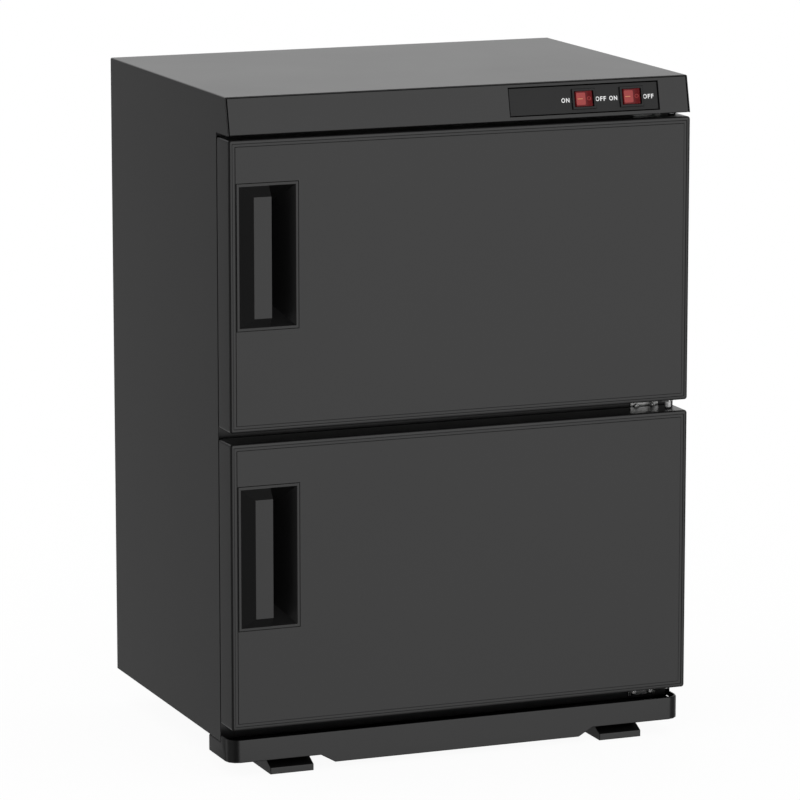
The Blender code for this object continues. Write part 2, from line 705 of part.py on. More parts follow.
def handle_rectangle():
    """Corners, in X and Z, of the handle's bezel in the door's frame."""
    left = HINGE_INSET - CASE_WIDTH + HANDLE_FROM_EDGE
    middle = DOOR_HEIGHT / 2 + HANDLE_ABOVE_MIDDLE
    return (left, middle - HANDLE_LENGTH / 2), (left + HANDLE_WIDTH, middle + HANDLE_LENGTH / 2)


def door_panel(name, parent, material):
    """Moulded door: a deep tray with rounded front edges and a shallow border groove on its face."""
    low, high = door_rectangle()
    front, back = -DOOR_THICKNESS / 2, DOOR_THICKNESS / 2

    def loop(inset, level):
        radius = max(DOOR_CORNER - inset, DOOR_INNER_CORNER)
        return at_level(rectangle(low, high, radius, inset), level, "Y")

    slope = GROOVE_DEPTH
    inner_edge = GROOVE_INSET + GROOVE_WIDTH
    edge = []
    for step in range(CORNER_STEPS + 1):
        turn = pi / 2 * step / CORNER_STEPS
        edge.append(loop(DOOR_EDGE * (1 - cos(turn)), front + DOOR_EDGE * (1 - sin(turn))))
    shape = loft([loop(DOOR_WALL, front + DOOR_FACE), loop(DOOR_WALL, back), loop(DOOR_BACK_EDGE, back),
                  loop(0, back - DOOR_BACK_EDGE), *edge,
                  loop(GROOVE_INSET, front), loop(GROOVE_INSET + slope, front + GROOVE_DEPTH),
                  loop(inner_edge - slope, front + GROOVE_DEPTH), loop(inner_edge, front)])
    panel = solid(name, shape)
    hole = rectangle(*handle_rectangle(), inset=-HANDLE_GAP)
    combine(panel, extrude(hole, front - OVERCUT, front + DOOR_FACE + OVERCUT, "Y"))
    bores = [extrude(circle(BUSH_RADIUS + FIT), level - OVERCUT, level + OVERCUT, "Z")
             for level in (0, DOOR_HEIGHT)]
    combine(panel, together(*bores))
    return complete(panel, material, parent)


def door_handle(name, parent, material):
    """Recessed handle: a flush bezel, a proud grip bar with sloped flanks and a tapered finger well.

    The well lies to the right of the bar and runs on behind it, so that fingers hook round the bar.
    """
    low, high = handle_rectangle()
    front = -DOOR_THICKNESS / 2
    crown = front - BEZEL_PROUD
    seat = front + DOOR_FACE + FIT
    well_floor = front + WELL_DEPTH

    def loop(grow, level):
        return at_level(rectangle(low, high, inset=-grow), level, "Y")

    shape = loft([loop(0, well_floor + HANDLE_FLOOR), loop(0, seat + HANDLE_LIP_SHEET),
                  loop(HANDLE_LIP, seat + HANDLE_LIP_SHEET), loop(HANDLE_LIP, seat), loop(0, seat),
                  loop(0, front), loop(-BEZEL_PROUD, crown)])
    handle = solid(name, shape)
    left, right = low[0] + BEZEL_RIM, high[0] - BEZEL_RIM
    lower, upper = low[1] + BEZEL_RIM, high[1] - BEZEL_RIM
    bar_right = left + GRIP_SIDE_RUN + GRIP_WIDTH
    sink = FIT / (GRIP_PROUD - BEZEL_PROUD)
    side_sink, end_sink = sink * GRIP_SIDE_RUN, sink * GRIP_END_RUN
    root = rectangle((left - side_sink, lower - end_sink), (bar_right, upper + end_sink))
    face = rectangle((left + GRIP_SIDE_RUN, lower + GRIP_END_RUN), (bar_right, upper - GRIP_END_RUN))
    grip = loft([at_level(root, crown + FIT, "Y"), at_level(face, front - GRIP_PROUD, "Y")])
    combine(handle, grip, "UNION")
    drawn_in = WELL_TAPER * (WELL_DEPTH + BEZEL_PROUD)
    flare = WELL_TAPER * OVERCUT
    mouth = rectangle((bar_right, lower - flare), (right + flare, upper + flare))
    floor = rectangle((bar_right, lower + drawn_in), (right - drawn_in, upper - drawn_in))
    combine(handle, loft([at_level(mouth, crown - OVERCUT, "Y"), at_level(floor, well_floor, "Y")]))
    hook_ends = (lower + drawn_in, upper - drawn_in)
    hook = box((bar_right - GRIP_UNDERCUT, front - GRIP_PROUD + GRIP_WALL, hook_ends[0]),
               (bar_right + FIT, well_floor, hook_ends[1]))
    combine(handle, hook)
    return complete(handle, material, parent)


def pan_rectangle():
    """Corners, in X and Z, of the raised pan that enters the chamber mouth, in the door's frame."""
    side = SIDE_SPACE + PAN_CLEARANCE
    low, high = door_rectangle()
    rise = END_SPACE + PAN_CLEARANCE
    return (low[0] + side, low[1] + rise), (high[0] - side, high[1] - rise)


def door_inner_panel(name, parent, material):
    """Formed sheet that closes the door's back, with a raised pan that enters the chamber mouth."""
    low, high = door_rectangle()
    pan_low, pan_high = pan_rectangle()
    back = PANEL_BACK

    def edge(level):
        return at_level(rectangle(low, high, DOOR_INNER_CORNER, DOOR_WALL + FIT), level, "Y")

    def raised(inset, level):
        return at_level(rectangle(pan_low, pan_high, LINER_CORNER - inset, inset), level, "Y")

    shape = loft([raised(PAN_SHEET + PAN_DRAFT, back + PAN_HEIGHT - PAN_SHEET),
                  raised(PAN_SHEET, back - PAN_SHEET), edge(back - PAN_SHEET), edge(back),
                  raised(0, back), raised(PAN_DRAFT, back + PAN_HEIGHT)])
    return complete(solid(name, shape), material, parent)


def door_gasket(name, parent, material):
    """Silicone seal round the raised pan: a flat base with a narrower bulb against the front frame."""
    low, high = pan_rectangle()
    seat, crown = SEAL_LEVELS
    margin = (GASKET_WIDTH - GASKET_BULB) / 2
    lean = margin / 2

    def loop(grow, level):
        return at_level(rectangle(low, high, GASKET_CORNER + grow, -grow), level, "Y")

    near, far = FIT, FIT + GASKET_WIDTH
    base = seat + GASKET_BASE
    shape = loft([loop(near, seat), loop(near, base), loop(near + margin, base),
                  loop(near + margin + lean, crown), loop(far - margin - lean, crown),
                  loop(far - margin, base), loop(far, base), loop(far, seat)], ring=True)
    return complete(solid(name, shape), material, parent)


def catch_magnet(name, parent, material):
    """Bar magnet on the inner panel beside the free edge, which holds the door to the steel frame."""
    seat, crown = SEAL_LEVELS
    wall, seal = door_rectangle()[0][0] + DOOR_WALL, pan_rectangle()[0][0] - FIT - GASKET_WIDTH
    left = (wall + seal - MAGNET_WIDTH) / 2
    middle = DOOR_HEIGHT / 2
    low, high = (left, middle - MAGNET_LENGTH / 2), (left + MAGNET_WIDTH, middle + MAGNET_LENGTH / 2)
    shape = extrude(rectangle(low, high, MAGNET_WIDTH / 4), seat, crown, "Y")
    return complete(solid(name, shape), material, parent)


def hinge_bush(name, parent, material, level, way):
    """Flanged nylon bush in the top or bottom of a door: way is 1 for the top, -1 for the bottom."""
    bore = PIN_RADIUS + FIT
    lip = BUSH_RADIUS + BUSH_LIP
    seat = level + way * FIT
    end = level - way * (PIN_REACH + FIT)
    profile = ((bore, seat + way * BUSH_FLANGE), (lip, seat + way * BUSH_FLANGE), (lip, seat),
               (BUSH_RADIUS, seat), (BUSH_RADIUS, end), (bore, end))
    return complete(solid(name, turned(profile, "Z", ring=True)), material, parent)


def hinge_bracket(name, top, material):
    """Angle bracket: a flange screwed to the front frame and a leaf that carries the hinge pin."""
    right = HINGE_X - BRACKET_OFFSET
    left = right - BRACKET_WIDTH
    back = FRAME_FRONT - FIT
    bottom = top - BRACKET_SHEET
    leaf = bmesh.new()
    nose = circle(BRACKET_NOSE, (HINGE_X, HINGE_Y))
    root = ((left, back), (right, back), (left, back - BRACKET_SHEET), (right, back - BRACKET_SHEET))
    for face in (bottom, top):
        for a, b in (*nose, *root):
            leaf.verts.new((a, b, face))
    bmesh.ops.convex_hull(leaf, input=leaf.verts)
    bracket = solid(name, leaf)
    flange = box((left, back - BRACKET_SHEET, top - BRACKET_DROP),
                 (right, back, bottom + BRACKET_SHEET / 2))
    combine(bracket, flange, "UNION")
    bore = extrude(circle(PIN_RADIUS + FIT, (HINGE_X, HINGE_Y)), bottom - OVERCUT, top + OVERCUT, "Z")
    level = top - BRACKET_SCREW_DROP
    reach = (back - BRACKET_SHEET - OVERCUT, back + OVERCUT)
    holes = [extrude(circle(BRACKET_SCREW_RADIUS, (place, level)), *reach, "Y")
             for place in (left + BRACKET_SCREW_INSET, right - BRACKET_SCREW_INSET)]
    combine(bracket, together(bore, *holes))
    return complete(bracket, material)


def hinge_pin(name, profile, material):
    """Turned steel pin with the shoulders that carry the doors."""
    return complete(solid(name, turned(profile, "Z", (HINGE_X, HINGE_Y))), material)


def drip_tray(material):
    """Moulded trough below the doors. It is deeper between the feet and slides in under the casing."""
    outer = HALF_WIDTH - FOOT_INSET - FOOT_WIDTH - TRAY_FOOT_CLEARANCE
    inner = outer - TRAY_STEP_RUN

    def elevation(wall, top):
        side, ends, middle = HALF_WIDTH - wall, wall - TRAY_END_DROP, wall - TRAY_MIDDLE_DROP
        return ((side, ends), (side, top), (-side, top), (-side, ends),
                (-outer, ends), (-inner, middle), (inner, middle), (outer, ends))

    def plan(wall):
        side, near, far = HALF_WIDTH - wall, wall - TRAY_REACH, TRAY_UNDER - wall
        return rounded(((side, near, TRAY_CORNER - wall), (side, far, 0), (-side, far, 0),
                        (-side, near, TRAY_CORNER - wall)))

    ends = (-TRAY_REACH, TRAY_UNDER)
    tall = (-TRAY_MIDDLE_DROP - OVERCUT, TRAY_RISE + 2 * OVERCUT)
    tray = solid("drip_tray", extrude(elevation(0, TRAY_RISE), *ends, "Y"))
    combine(tray, extrude(plan(0), *tall, "Z"), "INTERSECT")
    hollow = solid("hollow", extrude(elevation(TRAY_WALL, TRAY_RISE + OVERCUT), *ends, "Y"))
    combine(hollow, extrude(plan(TRAY_WALL), *tall, "Z"), "INTERSECT")
    trough = bmesh.new()
    trough.from_mesh(hollow.data)
    bpy.data.objects.remove(hollow, do_unlink=True)
    combine(tray, trough)
    reach = HALF_WIDTH + OVERCUT
    under = box((-reach, -TRAY_CLEARANCE, -2 * FIT), (reach, TRAY_UNDER + OVERCUT, TRAY_RISE + OVERCUT))
    combine(tray, under)
    return complete(tray, material, location=(0.0, FRONT, BASE))


def foot(name, side, section, pockets, material):
    """Moulded foot of one side section, hollowed from below by pockets that leave walls and a rib."""
    middle = side * (HALF_WIDTH - FOOT_INSET - FOOT_WIDTH / 2)
    half = FOOT_WIDTH / 2
    piece = solid(name, extrude(section, middle - half, middle + half, "X"))
    hollows = [box((middle - half + FOOT_WALL, near, -OVERCUT), (middle + half - FOOT_WALL, far, ceiling))
               for near, far, ceiling in pockets]
    combine(piece, together(*hollows))
    return complete(piece, material)


def front_foot(name, side, material):
    """Foot with a sloped toe that reaches out under the drip tray, and a heel below the cabinet."""
    toe, ledge = FRONT - FOOT_REACH, BASE - TRAY_END_DROP - FIT
    heel = FRONT + TRAY_BACK
    end = heel + FOOT_HEEL
    section = ((toe, 0), (end, 0), (end, BASE - FIT), (heel, BASE - FIT), (heel, ledge),
               (toe + FOOT_SLOPE_RUN, ledge), (toe, FOOT_LIP))
    pockets = ((toe + FOOT_SLOPE_RUN, heel - FOOT_WALL, ledge - FOOT_WALL),
               (heel + FOOT_WALL, end - FOOT_WALL, BASE - FIT - FOOT_WALL))
    return foot(name, side, section, pockets, material)


def rear_foot(name, side, material):
    """Plain foot below the back of the cabinet, a little narrower at the floor."""
    end = BACK - REAR_FOOT_INSET
    start = end - REAR_FOOT_LENGTH
    draft = FOOT_WALL
    section = ((start + draft, 0), (end - draft, 0), (end, BASE - FIT), (start, BASE - FIT))
    middle = (start + end) / 2
    pockets = ((start + 2 * draft, middle - FOOT_WALL / 2, BASE - FIT - FOOT_WALL),
               (middle + FOOT_WALL / 2, end - 2 * draft, BASE - FIT - FOOT_WALL))
    return foot(name, side, section, pockets, material)


clear_scene()

coat = finish("satin_black_coat", (0.020, 0.020, 0.0204), 0.45, 0.0)
moulding = finish("black_moulding", (0.020, 0.020, 0.0204), 0.42, 0.0)
dark_moulding = finish("dark_moulding", (0.018, 0.018, 0.0185), 0.50, 0.0)
steel = finish("bright_steel", (0.62, 0.62, 0.61), 0.30, 1.0)
aluminium = finish("chamber_aluminium", (0.75, 0.75, 0.76), 0.35, 1.0)
silicone = finish("grey_silicone", (0.16, 0.16, 0.17), 0.65, 0.0)
rubber = finish("black_rubber", (0.020, 0.020, 0.020), 0.70, 0.0)
nylon = finish("natural_nylon", (0.66, 0.64, 0.58), 0.55, 0.0)
ceramic = finish("terminal_white", (0.70, 0.68, 0.62), 0.50, 0.0)
ferrite = finish("magnet_ferrite", (0.050, 0.050, 0.055), 0.60, 0.0)
red_lens = finish("red_rocker", (0.42, 0.045, 0.045), 0.25, 0.0)

outer_casing(coat)
rear_panel(coat)
bottom_plate(coat)
front_frame(coat)
cord_gland(rubber)
terminal_block(ceramic)
control_fascia(coat)
switch_plate(dark_moulding)

for level_name, door in (("upper", UPPER_DOOR), ("lower", LOWER_DOOR)):
    chamber_liner(level_name + "_chamber_liner", door, aluminium)
    wire_rack(level_name + "_wire_rack", door, steel)
    heater(level_name + "_heater", door, aluminium)
    thermostat(level_name + "_thermostat", door, ceramic)

for side_name, place in zip(("left", "right"), switch_places()):
    switch_housing(side_name + "_switch_housing", place, dark_moulding)
    frame_at_pivot = switch_frame(place) @ Matrix.Translation((0, 0, PIVOT_LEVEL))
    pivot = joint_empty(side_name + "_rocker_pivot", frame_at_pivot.translation, frame_at_pivot)
    rocker(side_name + "_rocker", pivot, red_lens)

for level_name, door in (("upper", UPPER_DOOR), ("lower", LOWER_DOOR)):
    hinge = joint_empty(level_name + "_door_hinge", (HINGE_X, HINGE_Y, door))
    door_panel(level_name + "_door_panel", hinge, moulding)
    door_inner_panel(level_name + "_door_inner_panel", hinge, moulding)
    door_gasket(level_name + "_door_gasket", hinge, silicone)
    door_handle(level_name + "_door_handle", hinge, moulding)
    catch_magnet(level_name + "_door_magnet", hinge, ferrite)
    hinge_bush(level_name + "_door_top_bush", hinge, nylon, DOOR_HEIGHT, 1)
    hinge_bush(level_name + "_door_bottom_bush", hinge, nylon, 0.0, -1)

top_leaf = HEADER_BOTTOM - FIT
under_door = BUSH_STAND + END_SHOULDER + FIT
middle_leaf = UPPER_DOOR - under_door
bottom_leaf = LOWER_DOOR - under_door
hinge_bracket("top_hinge_bracket", top_leaf, steel)
hinge_bracket("middle_hinge_bracket", middle_leaf, steel)
hinge_bracket("bottom_hinge_bracket", bottom_leaf, steel)

upper_top = UPPER_DOOR + DOOR_HEIGHT
lower_top = LOWER_DOOR + DOOR_HEIGHT
thin, thick = PIN_RADIUS, PIN_SHOULDER_RADIUS
under_top_leaf = top_leaf - BRACKET_SHEET - FIT
under_middle_leaf = middle_leaf - BRACKET_SHEET - FIT
over_middle_leaf = middle_leaf + FIT
over_bottom_leaf = bottom_leaf + FIT
hinge_pin("top_hinge_pin", (
    (thin, upper_top - PIN_REACH), (thin, under_top_leaf - END_SHOULDER),
    (thick, under_top_leaf - END_SHOULDER), (thick, under_top_leaf), (thin, under_top_leaf),
    (thin, top_leaf)), steel)
hinge_pin("middle_hinge_pin", (
    (thin, lower_top - PIN_REACH), (thin, lower_top + BUSH_STAND), (thick, lower_top + BUSH_STAND),
    (thick, under_middle_leaf), (thin, under_middle_leaf), (thin, over_middle_leaf),
    (thick, over_middle_leaf), (thick, over_middle_leaf + END_SHOULDER),
    (thin, over_middle_leaf + END_SHOULDER), (thin, UPPER_DOOR + PIN_REACH)), steel)
hinge_pin("bottom_hinge_pin", (
    (thin, bottom_leaf - BRACKET_SHEET), (thin, over_bottom_leaf), (thick, over_bottom_leaf),
    (thick, over_bottom_leaf + END_SHOULDER), (thin, over_bottom_leaf + END_SHOULDER),
    (thin, LOWER_DOOR + PIN_REACH)), steel)

drip_tray(moulding)
for side_name, side in (("left", -1), ("right", 1)):
    front_foot("front_" + side_name + "_foot", side, moulding)
    rear_foot("rear_" + side_name + "_foot", side, moulding)
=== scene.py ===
"""Looks of a two-door towel warmer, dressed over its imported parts."""
import json
from math import cos, pi, radians, sin

import bmesh
import bpy
import numpy as np
from mathutils import Matrix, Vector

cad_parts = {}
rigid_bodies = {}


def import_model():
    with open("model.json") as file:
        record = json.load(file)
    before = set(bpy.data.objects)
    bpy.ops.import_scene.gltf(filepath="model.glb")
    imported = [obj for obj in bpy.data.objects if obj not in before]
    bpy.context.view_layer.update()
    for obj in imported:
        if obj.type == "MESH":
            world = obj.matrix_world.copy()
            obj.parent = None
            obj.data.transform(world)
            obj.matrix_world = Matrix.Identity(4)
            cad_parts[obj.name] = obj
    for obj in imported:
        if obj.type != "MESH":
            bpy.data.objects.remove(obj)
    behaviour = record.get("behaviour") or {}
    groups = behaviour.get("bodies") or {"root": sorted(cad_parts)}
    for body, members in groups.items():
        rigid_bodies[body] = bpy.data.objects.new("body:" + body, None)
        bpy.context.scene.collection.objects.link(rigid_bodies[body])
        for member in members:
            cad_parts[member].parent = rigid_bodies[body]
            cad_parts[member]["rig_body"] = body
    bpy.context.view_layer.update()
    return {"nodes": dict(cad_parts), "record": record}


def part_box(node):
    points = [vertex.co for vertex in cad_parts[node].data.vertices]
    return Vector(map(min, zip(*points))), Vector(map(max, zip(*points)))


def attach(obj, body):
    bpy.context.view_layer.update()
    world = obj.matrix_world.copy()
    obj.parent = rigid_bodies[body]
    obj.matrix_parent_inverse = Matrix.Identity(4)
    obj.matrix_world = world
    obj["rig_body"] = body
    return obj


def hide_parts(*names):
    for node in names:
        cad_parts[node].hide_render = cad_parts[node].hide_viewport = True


for leftover in list(bpy.data.objects):
    bpy.data.objects.remove(leftover, do_unlink=True)
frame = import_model()


# Studio
# The cabinet stands on a white sweep. A white wall stands in front of it, to the right, and a greyer one
# behind it. The sides and the ceiling are dim in the gloss, so that black faces keep their edges. The
# camera looks down from the left through a long lens.
class Number:
    """A shader value that takes arithmetic: each operator adds one Math node to its graph."""

    def __init__(self, graph, socket):
        self.graph, self.socket = graph, socket

    def __add__(self, other):
        return self.graph.maths("ADD", self, other)

    def __sub__(self, other):
        return self.graph.maths("SUBTRACT", self, other)

    def __rsub__(self, other):
        return self.graph.maths("SUBTRACT", other, self)

    def __mul__(self, other):
        return self.graph.maths("MULTIPLY", self, other)

    __radd__, __rmul__ = __add__, __mul__

    def part(self, name):
        """Another output of the same node."""
        return Number(self.graph, self.socket.node.outputs[name])


class Graph:
    """A node tree under construction."""

    def __init__(self, owner):
        owner.use_nodes = True
        self.tree = owner.node_tree

    def feed(self, socket, value):
        """Link a shader value to a socket, or set a plain value on it."""
        if isinstance(value, Number):
            self.tree.links.new(value.socket, socket)
        else:
            socket.default_value = value

    def node(self, kind, settings, sockets, output=0):
        """Add a node: its settings first, then the value or link of each named or numbered socket."""
        made = self.tree.nodes.new("ShaderNode" + kind)
        for key, value in settings.items():
            setattr(made, key, value)
        for key, value in sockets.items():
            self.feed(made.inputs[key], value)
        return Number(self, made.outputs[output])

    def maths(self, operation, first, second):
        """Math node on two values."""
        return self.node("Math", {"operation": operation}, {0: first, 1: second})

    def ease(self, value, start, end, low=0.0, high=1.0):
        """Smooth step from low to high while a value goes from start to end."""
        limits = {"From Min": start, "From Max": end, "To Min": low, "To Max": high}
        return self.node("MapRange", {"interpolation_type": "SMOOTHSTEP"}, {"Value": value, **limits})

    def blend(self, share, first, second):
        """Colour between two colours."""
        return self.node("Mix", {"data_type": "RGBA"}, {0: share, 6: first, 7: second}, 2)


PLAIN_LEVEL = 1.0
DIM_LEVEL, GREY_LEVEL, FLOOR_LEVEL = 0.05, 0.76, 0.38
LEFT_LEVEL, RIGHT_LEVEL, REAR_LEVEL = 0.09, 0.10, 0.30
LEFT_SIDE, RIGHT_SIDE = (-0.85, -0.5), (0.5, 0.85)
REAR_CORNERS, REAR_DEPTH = (0.5, 0.8), (0.25, 0.6)
FRONT_TO_BACK = (-0.2, 0.2)
WHITE_LEFT, GREY_LEFT, BOTH_RIGHT = (-0.12, 0.22), (-0.42, 0.0), (0.52, 0.74)
WHITE_FOOT, GREY_FOOT, BOTH_TOP = (-0.54, -0.07), (-0.90, -0.35), (0.40, 0.75)
FLOOR_FOOT = (-0.95, -0.70)


def studio_shade(graph, direction):
    """Brightness seen in a direction: a white wall in front, a grey one behind, and dim between them.

    Each wall fades out to its left, to its right, upwards and downwards by smooth steps of the direction.
    The white one runs on, dimmer, over the floor in front of it. The dim part gains a little brightness far
    to the left and to the right, and more in the rear corners.
    """
    across = graph.node("SeparateXYZ", {}, {0: direction})
    depth, height = across.part("Y"), across.part("Z")
    left = graph.ease(across, *LEFT_SIDE, DIM_LEVEL + LEFT_LEVEL, DIM_LEVEL)
    right = graph.ease(across, *RIGHT_SIDE, 0.0, RIGHT_LEVEL)
    aside = graph.maths("ABSOLUTE", across, 0.0)
    rear = graph.ease(aside, *REAR_CORNERS, 0.0, REAR_LEVEL) * graph.ease(depth, *REAR_DEPTH)
    dim = left + right + rear
    below = graph.ease(height, *WHITE_FOOT, FLOOR_LEVEL, 1.0) * graph.ease(height, *FLOOR_FOOT)
    white = graph.ease(across, *WHITE_LEFT) * below
    grey = GREY_LEVEL * graph.ease(across, *GREY_LEFT) * graph.ease(height, *GREY_FOOT)
    edge = graph.ease(across, *BOTH_RIGHT, 1.0, 0.0) * graph.ease(height, *BOTH_TOP, 1.0, 0.0)
    behind = graph.ease(depth, *FRONT_TO_BACK)
    return dim + (1.0 - dim) * edge * (white + behind * (grey - white))


def background_rays(graph):
    """1 for rays that look at the background: from the camera, off gloss and through glass."""
    path = graph.node("LightPath", {}, {})
    mirrored = graph.maths("MAXIMUM", path.part("Is Glossy Ray"), path.part("Is Transmission Ray"))
    return graph.maths("MAXIMUM", path.part("Is Camera Ray"), mirrored)


LENS_LENGTH, SENSOR_WIDTH = 217.9, 36.0
CAMERA_PLACE = (-1.6520, -4.1606, 1.1635)
CAMERA_DROP, CAMERA_TURN = 10.826, -21.683
scene = bpy.context.scene
scene.view_settings.view_transform = "Standard"
long_lens = bpy.data.cameras.new("camera")
long_lens.lens = LENS_LENGTH
long_lens.sensor_width = SENSOR_WIDTH
camera = bpy.data.objects.new("camera", long_lens)
camera.location = CAMERA_PLACE
camera.rotation_euler = (radians(90.0 - CAMERA_DROP), 0.0, radians(CAMERA_TURN))
scene.collection.objects.link(camera)
scene.camera = camera

walls = bpy.data.worlds.new("studio_walls")
scene.world = walls
graph = Graph(walls)
direction = graph.node("TexCoord", {}, {}, "Generated")
path = graph.node("LightPath", {}, {}, "Is Camera Ray")
seen = graph.maths("MAXIMUM", path, studio_shade(graph, direction))
plain = graph.node("Background", {}, {"Color": (1, 1, 1, 1), "Strength": PLAIN_LEVEL})
white = graph.node("Background", {}, {"Color": (1, 1, 1, 1), "Strength": seen})
mixed = graph.node("MixShader", {}, {0: background_rays(graph), 1: plain, 2: white})
graph.tree.links.new(mixed.socket, graph.tree.nodes["World Output"].inputs["Surface"])

SWEEP_HALF = 30.0
SWEEP_SHADE = 0.8
SHADOW_SHARE = 0.07
sweep_mesh = bpy.data.meshes.new("sweep")
corners = SWEEP_HALF * np.array([(-1, -1, 0), (1, -1, 0), (1, 1, 0), (-1, 1, 0)])
sweep_mesh.from_pydata(corners.tolist(), [], [(0, 1, 2, 3)])
sweep = bpy.data.objects.new("sweep", sweep_mesh)
scene.collection.objects.link(sweep)
paper = bpy.data.materials.new("white_paper")
graph = Graph(paper)
lit = graph.node("BsdfDiffuse", {}, {"Color": (SWEEP_SHADE, SWEEP_SHADE, SWEEP_SHADE, 1)})
glow = (1.0 - SHADOW_SHARE * SWEEP_SHADE * PLAIN_LEVEL) / (1.0 - SHADOW_SHARE)
white = graph.node("Emission", {}, {"Color": (1, 1, 1, 1), "Strength": glow})
share = (1.0 - SHADOW_SHARE) * background_rays(graph)
mixed = graph.node("MixShader", {}, {0: share, 1: lit, 2: white})
graph.tree.links.new(mixed.socket, graph.tree.nodes["Material Output"].inputs["Surface"])
sweep_mesh.materials.append(paper)
sweep.visible_glossy = False


# Sheet-metal cabinet
# The casing, fascia, floor, back and front frame are folded steel sheet with a baked satin black coat. The
# coat has a fine even grain, and each fold and cut edge is slightly rounded by it.
class Finish(Graph):
    """A material under construction, with its Principled shader at hand."""

    def __init__(self, name, **values):
        self.material = bpy.data.materials.new(name)
        super().__init__(self.material)
        self.shader = self.tree.nodes["Principled BSDF"]
        self.set(**values)
        self.place = self.node("TexCoord", {}, {}, "Object")

    def set(self, **values):
        """Give the shader's sockets their values or links. An underscore stands for a space."""
        for key, value in values.items():
            self.feed(self.shader.inputs[key.replace("_", " ")], value)

    def noise(self, scale, detail=2.0):
        """Cloudy noise, from 0 to 1, with a number of waves in each metre."""
        return self.node("TexNoise", {}, {"Vector": self.place, "Scale": scale, "Detail": detail})

    def mottle(self, share, dark, light, smooth, spread):
        """Colour from dark to light, and roughness from smooth up by a spread, as a share grows to 1."""
        self.set(Base_Color=self.blend(share, (*dark, 1), (*light, 1)), Roughness=smooth + spread * share)

    def relief(self, height, depth, strength):
        """Bump from a height of 0 to 1 that stands for a depth in metres."""
        bump = self.node("Bump", {}, {"Height": height, "Distance": depth, "Strength": strength})
        self.set(Normal=bump)


MERGE_REACH = 2e-6
FLAT_ANGLE, SHARP_ANGLE = 0.5, 35.0
SHEET_ROUNDING = 0.0003


def eased(node, finish, width=0.0, steps=2, sharp=SHARP_ANGLE):
    """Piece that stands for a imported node: its own surface with doubles merged and flat areas made convex.

    Edges past a sharp angle are rounded over by a width, and the shading is smooth, weighted by areas.
    """
    source = frame["nodes"][node]
    work = bmesh.new()
    work.from_mesh(source.data)
    bmesh.ops.remove_doubles(work, verts=work.verts, dist=MERGE_REACH)
    bmesh.ops.dissolve_limit(work, angle_limit=radians(FLAT_ANGLE), verts=work.verts, edges=work.edges)
    bmesh.ops.connect_verts_concave(work, faces=work.faces)
    mesh = bpy.data.meshes.new(node + "_finished")
    work.to_mesh(mesh)
    work.free()
    mesh.materials.append(finish.material)
    mesh.shade_smooth()
    mesh.set_sharp_from_angle(angle=radians(sharp))
    piece = bpy.data.objects.new(node + "_finished", mesh)
    scene.collection.objects.link(piece)
    if width:
        bevel = piece.modifiers.new("rounding", "BEVEL")
        bevel.width = width
        bevel.segments = steps
        bevel.limit_method = "ANGLE"
        bevel.angle_limit = radians(sharp)
    piece.modifiers.new("shading", "WEIGHTED_NORMAL")
    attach(piece, source["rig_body"])
    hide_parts(node)
    return piece


coat = Finish("satin_black_coat", Specular_IOR_Level=0.84)
cloud, grain = coat.noise(9.0), coat.noise(1500.0)
coat.mottle(cloud, (0.0020, 0.0020, 0.0021), (0.0036, 0.0036, 0.0038), 0.28, 0.04)
coat.relief(grain, 0.00004, 0.25)
eased("bottom_plate", coat)
for node in ("rear_panel", "front_frame", "outer_casing", "control_fascia"):
    eased(node, coat, SHEET_ROUNDING)


# Panel screws
# Small pan-head screws with a cross recess, formed from steel wire and zinc-plated. Eight of them hold the
# rear panel to the cabinet by its edges.
def mottled(name, waves, dark, light, smooth, spread, detail=2.0, **values):
    """Finish whose colour and roughness follow one noise with a number of waves in each metre."""
    finish = Finish(name, **values)
    finish.mottle(finish.noise(waves, detail), dark, light, smooth, spread)
    return finish


def placed(piece, body):
    """Put a piece into the scene, on the body that carries it."""
    scene.collection.objects.link(piece)
    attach(piece, body)
    return piece


POLE_REACH = 1e-7


def grid_piece(name, points, finish, body):
    """Piece made of grids of points: copies, rows, columns and coordinates. Each row closes into a ring.

    A row whose points are all in one place merges into a pole.
    """
    copies, rows, columns = points.shape[:3]
    index = np.arange(copies * rows * columns).reshape(copies, rows, columns)
    beside = np.roll(index, -1, axis=2)
    quads = np.stack([index[:, :-1], index[:, 1:], beside[:, 1:], beside[:, :-1]], axis=-1)
    mesh = bpy.data.meshes.new(name)
    mesh.from_pydata(points.reshape(-1, 3).tolist(), [], quads.reshape(-1, 4).tolist())
    work = bmesh.new()
    work.from_mesh(mesh)
    bmesh.ops.remove_doubles(work, verts=work.verts, dist=POLE_REACH)
    work.to_mesh(mesh)
    work.free()
    mesh.materials.append(finish.material)
    mesh.shade_smooth()
    return placed(bpy.data.objects.new(name, mesh), body)


def ring_grid(start, end, rows, columns):
    """Grid of two parameters: a value that goes from start to end by rows, and a full turn by columns."""
    turns = np.linspace(0, 2 * pi, columns, endpoint=False)
    return np.meshgrid(np.linspace(start, end, rows), turns, indexing="ij")


